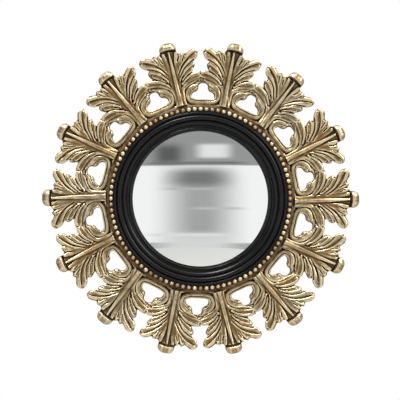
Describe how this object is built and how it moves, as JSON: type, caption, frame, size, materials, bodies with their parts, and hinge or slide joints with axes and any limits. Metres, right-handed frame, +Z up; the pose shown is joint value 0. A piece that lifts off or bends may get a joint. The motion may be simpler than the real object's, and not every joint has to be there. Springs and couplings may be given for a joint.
{
  "type": "convex wall mirror",
  "caption": "Round convex wall mirror: domed glass in a black reeded slip, a gilt bead moulding and a surround of carved acanthus leaves with curled tips.",
  "frame": {"origin": "the point on the wall plane where the hanging screw bears in the keyhole plate, 157 mm above the middle of the glass", "axes": "+Z up, +Y into the wall, the glass faces -Y, +X to the viewer's right"},
  "size_m": [0.6, 0.0522, 0.588],
  "materials": {
    "gilt_carving": "carved wood, water gilt and toned, rubbed on the high points",
    "gilt_ring": "turned wood, gilt and toned dark in the hollow",
    "gilt_beads": "gilt beads, rubbed bright on top",
    "ebonised_wood": "ebonised and French polished",
    "silvered_glass": "domed looking glass, silvered on the back",
    "felt": "black felt",
    "bare_wood": "planed softwood",
    "backing_board": "thin board, smooth face out",
    "brass": "sheet brass, brushed",
    "screw_steel": "zinc plated",
    "screw_brass": "brass",
    "pad_rubber": "soft black rubber"
  },
  "bodies": {
    "frame": {"acanthus_leaf_01": "gilt_carving", "acanthus_leaf_02": "gilt_carving", "acanthus_leaf_03": "gilt_carving", "acanthus_leaf_04": "gilt_carving", "acanthus_leaf_05": "gilt_carving", "acanthus_leaf_06": "gilt_carving", "acanthus_leaf_07": "gilt_carving", "acanthus_leaf_08": "gilt_carving", "acanthus_leaf_09": "gilt_carving", "acanthus_leaf_10": "gilt_carving", "acanthus_leaf_11": "gilt_carving", "acanthus_leaf_12": "gilt_carving", "acanthus_leaf_13": "gilt_carving", "acanthus_leaf_14": "gilt_carving", "scroll_link_01": "gilt_carving", "scroll_link_02": "gilt_carving", "scroll_link_03": "gilt_carving", "scroll_link_04": "gilt_carving", "scroll_link_05": "gilt_carving", "scroll_link_06": "gilt_carving", "scroll_link_07": "gilt_carving", "scroll_link_08": "gilt_carving", "scroll_link_09": "gilt_carving", "scroll_link_10": "gilt_carving", "scroll_link_11": "gilt_carving", "scroll_link_12": "gilt_carving", "scroll_link_13": "gilt_carving", "scroll_link_14": "gilt_carving", "ring_frame": "gilt_ring", "bead_ring": "gilt_beads", "ebonised_slip": "ebonised_wood", "mirror_glass": "silvered_glass", "glass_gasket": "felt", "glass_retainer": "bare_wood", "backing_board": "backing_board", "leaf_screws": "screw_steel", "link_screws": "screw_steel", "button_screws": "screw_brass", "hanger_plate": "brass", "hanger_screws": "screw_brass", "wall_pad_right": "pad_rubber", "wall_pad_left": "pad_rubber"},
    "button_1": {"turn_button_1": "brass"},
    "button_2": {"turn_button_2": "brass"},
    "button_3": {"turn_button_3": "brass"},
    "button_4": {"turn_button_4": "brass"},
    "button_5": {"turn_button_5": "brass"},
    "button_6": {"turn_button_6": "brass"}
  },
  "joints": [
    {"name": "button_1_turn", "type": "hinge", "parent": "frame", "child": "button_1", "pos_m": [0.075, -0.004, -0.0271], "axis": [0, -1, 0], "continuous": true},
    {"name": "button_2_turn", "type": "hinge", "parent": "frame", "child": "button_2", "pos_m": [0.15, -0.004, -0.157], "axis": [0, -1, 0], "continuous": true},
    {"name": "button_3_turn", "type": "hinge", "parent": "frame", "child": "button_3", "pos_m": [0.075, -0.004, -0.2869], "axis": [0, -1, 0], "continuous": true},
    {"name": "button_4_turn", "type": "hinge", "parent": "frame", "child": "button_4", "pos_m": [-0.075, -0.004, -0.2869], "axis": [0, -1, 0], "continuous": true},
    {"name": "button_5_turn", "type": "hinge", "parent": "frame", "child": "button_5", "pos_m": [-0.15, -0.004, -0.157], "axis": [0, -1, 0], "continuous": true},
    {"name": "button_6_turn", "type": "hinge", "parent": "frame", "child": "button_6", "pos_m": [-0.075, -0.004, -0.0271], "axis": [0, -1, 0], "continuous": true}
  ]
}
